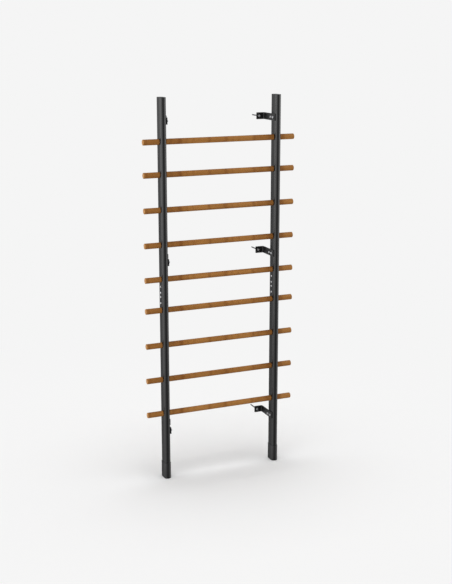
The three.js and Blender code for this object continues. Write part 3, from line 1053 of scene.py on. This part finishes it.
class WALLBARS_OT_stage(Undoable, bpy.types.Operator):
    """Makes the floor, the light tent, the overhead softbox, the backdrop and the camera"""

    bl_idname = "wallbars.stage"
    bl_label = "Stage"

    def execute(self, context):
        stage, colours = context.scene.bar_stage, context.scene.bar_colours
        floor = self.floor(colours)
        self.softbox(stage, floor)
        self.tent(stage, floor)
        self.backdrop(colours)
        self.camera()
        context.scene.view_settings.view_transform = "Standard"
        return {"FINISHED"}

    def floor(self, colours):
        """A wide pale floor, which melts into the backdrop away from the part."""
        corners = FLOOR_REACH * np.array([(-1, -1, 0), (1, -1, 0), (1, 1, 0), (-1, 1, 0)])
        mesh = bpy.data.meshes.new("floor")
        mesh.from_pydata(corners.tolist(), [], [(0, 1, 2, 3)])
        floor = shown("floor", mesh)
        floor.visible_glossy = False
        finish = Finish("floor")
        finish.set(Base_Color=solid_colour(colours.floor), Roughness=0.9, Specular_IOR_Level=0.0)
        place = finish.place()
        distance = place.node("ShaderNodeVectorMath", {"operation": "LENGTH"}, {0: place}, output="Value")
        glow = finish.wire.node("ShaderNodeEmission", None, {"Color": solid_colour(colours.backdrop)})
        lit = Wire(finish.tree, finish.shader.outputs[0])
        melted = distance.step(*FLOOR_MELTS) * self.seen(finish.wire)
        finish.surface(finish.wire.node("ShaderNodeMixShader", None, {0: melted, 1: lit, 2: glow}))
        mesh.materials.append(finish.material)
        return floor

    def softbox(self, stage, floor):
        """A round softbox far overhead, which gives the floor its soft shadows and lights nothing else."""
        light = bpy.data.lights.new("softbox", "SUN")
        light.angle = stage.softbox_angle
        light.energy = stage.softbox_level * math.pi
        self.link_light(shown("softbox", light), floor, "INCLUDE")

    def tent(self, stage, floor):
        """A light tent round the part, bright at its sides. In the direction x, y, z its glow is
        dim + x^2 * fade * (side + slope * z), with z kept between two heights. Dim goes from front to back
        with y, and rises overhead and below. Fade takes the right side down behind, by
        (y - start) * (1 + x)^2."""
        tilt = np.linspace(math.pi / 2, -math.pi / 2, TENT_RINGS + 1)[:, None] + np.zeros((1, TENT_SIDES))
        mesh = merged_mesh("tent", *turned(
            TENT_RADIUS * np.cos(tilt), TENT_RADIUS * np.sin(tilt), (0, 0, 0), UPWARDS))
        tent = shown("tent", mesh)
        tent.visible_camera = False
        tent.visible_shadow = False
        finish = Finish("tent")
        x, y, z = (part / TENT_RADIUS for part in finish.place().parts())
        above, below = z.clamped(0.0, 1.0), z.clamped(-1.0, 0.0)
        half_way = (stage.tent_front + stage.tent_back) / 2
        dim = half_way + (stage.tent_back - half_way) * y
        dim = dim + stage.tent_top * above - stage.tent_bottom * below * (1 + y)
        fade = 1 - (stage.tent_fade * (y - TENT_FADE_START) * (1 + x) * (1 + x)).clamped(0.0, 1.0)
        side = stage.tent_side + stage.tent_slope * z.clamped(*TENT_SLOPE_HEIGHTS)
        finish.surface(finish.wire.node("ShaderNodeEmission", None, {"Color": dim + x * x * fade * side}))
        mesh.materials.append(finish.material)
        self.link_light(tent, floor, "EXCLUDE")

    def link_light(self, light, floor, state):
        """Lets a light fall on the floor alone, or on everything but the floor."""
        rule = bpy.data.collections.new(f"{light.name}_rule")
        rule.objects.link(floor)
        rule.collection_objects[0].light_linking.link_state = state
        light.light_linking.receiver_collection = rule

    def backdrop(self, colours):
        """An even pale backdrop, which lights nothing."""
        world = bpy.data.worlds.new("backdrop")
        world.use_nodes = True
        bpy.context.scene.world = world
        background = world.node_tree.nodes["Background"]
        feed(background.inputs["Color"], solid_colour(colours.backdrop))
        feed(background.inputs["Strength"], self.seen(Wire(world.node_tree)))

    def seen(self, wire):
        """1 for what the camera sees, straight or by way of gloss or glass, and 0 for what only lights."""
        rays = wire.node("ShaderNodeLightPath").socket.node.outputs
        camera, gloss, glass = (
            Wire(wire.tree, rays[f"Is {kind} Ray"]) for kind in ("Camera", "Glossy", "Transmission"))
        return wire.math("MAXIMUM", camera, wire.math("MAXIMUM", gloss, glass))

    def camera(self):
        """The camera, where it sees the part at the photograph's angle."""
        lens = bpy.data.cameras.new("camera")
        lens.lens = CAMERA_LENS
        camera = shown("camera", lens)
        camera.location = CAMERA_PLACE
        camera.rotation_euler = (CAMERA_PITCH, 0, CAMERA_YAW)
        bpy.context.scene.camera = camera


class WALLBARS_PT_panel(bpy.types.Panel):
    """Lists the pieces, sizes and colours of the wall bars"""

    bl_idname = "WALLBARS_PT_panel"
    bl_label = "Wall bars"
    bl_space_type = "VIEW_3D"
    bl_region_type = "UI"
    bl_category = "Wall bars"

    def draw(self, context):
        for maker in MAKERS:
            self.layout.operator(maker.bl_idname)
        for group, kind in GROUPS.items():
            box = self.layout.box()
            for name in kind.__annotations__:
                box.prop(getattr(context.scene, group), name)


MAKERS = (
    WALLBARS_OT_posts,
    WALLBARS_OT_feet,
    WALLBARS_OT_caps,
    WALLBARS_OT_rungs,
    WALLBARS_OT_brackets,
    WALLBARS_OT_splice_bolts,
    WALLBARS_OT_bracket_bolts,
    WALLBARS_OT_wall_screws,
    WALLBARS_OT_rung_screws,
    WALLBARS_OT_sleeves,
    WALLBARS_OT_stage,
)
GROUPS = {
    "bar_sizes": WallBarSizes,
    "bar_colours": WallBarColours,
    "bar_stage": WallBarStage,
}
CLASSES = (*GROUPS.values(), *MAKERS, WALLBARS_PT_panel)


def register():
    for kind in CLASSES:
        bpy.utils.register_class(kind)
    for name, group in GROUPS.items():
        setattr(bpy.types.Scene, name, bpy.props.PointerProperty(type=group))


def unregister():
    for name in GROUPS:
        delattr(bpy.types.Scene, name)
    for kind in reversed(CLASSES):
        bpy.utils.unregister_class(kind)


def main():
    """Makes every piece and the stage."""
    register()
    for maker in MAKERS:
        family, action = maker.bl_idname.split(".")
        getattr(getattr(bpy.ops, family), action)()


if __name__ == "__main__":
    main()
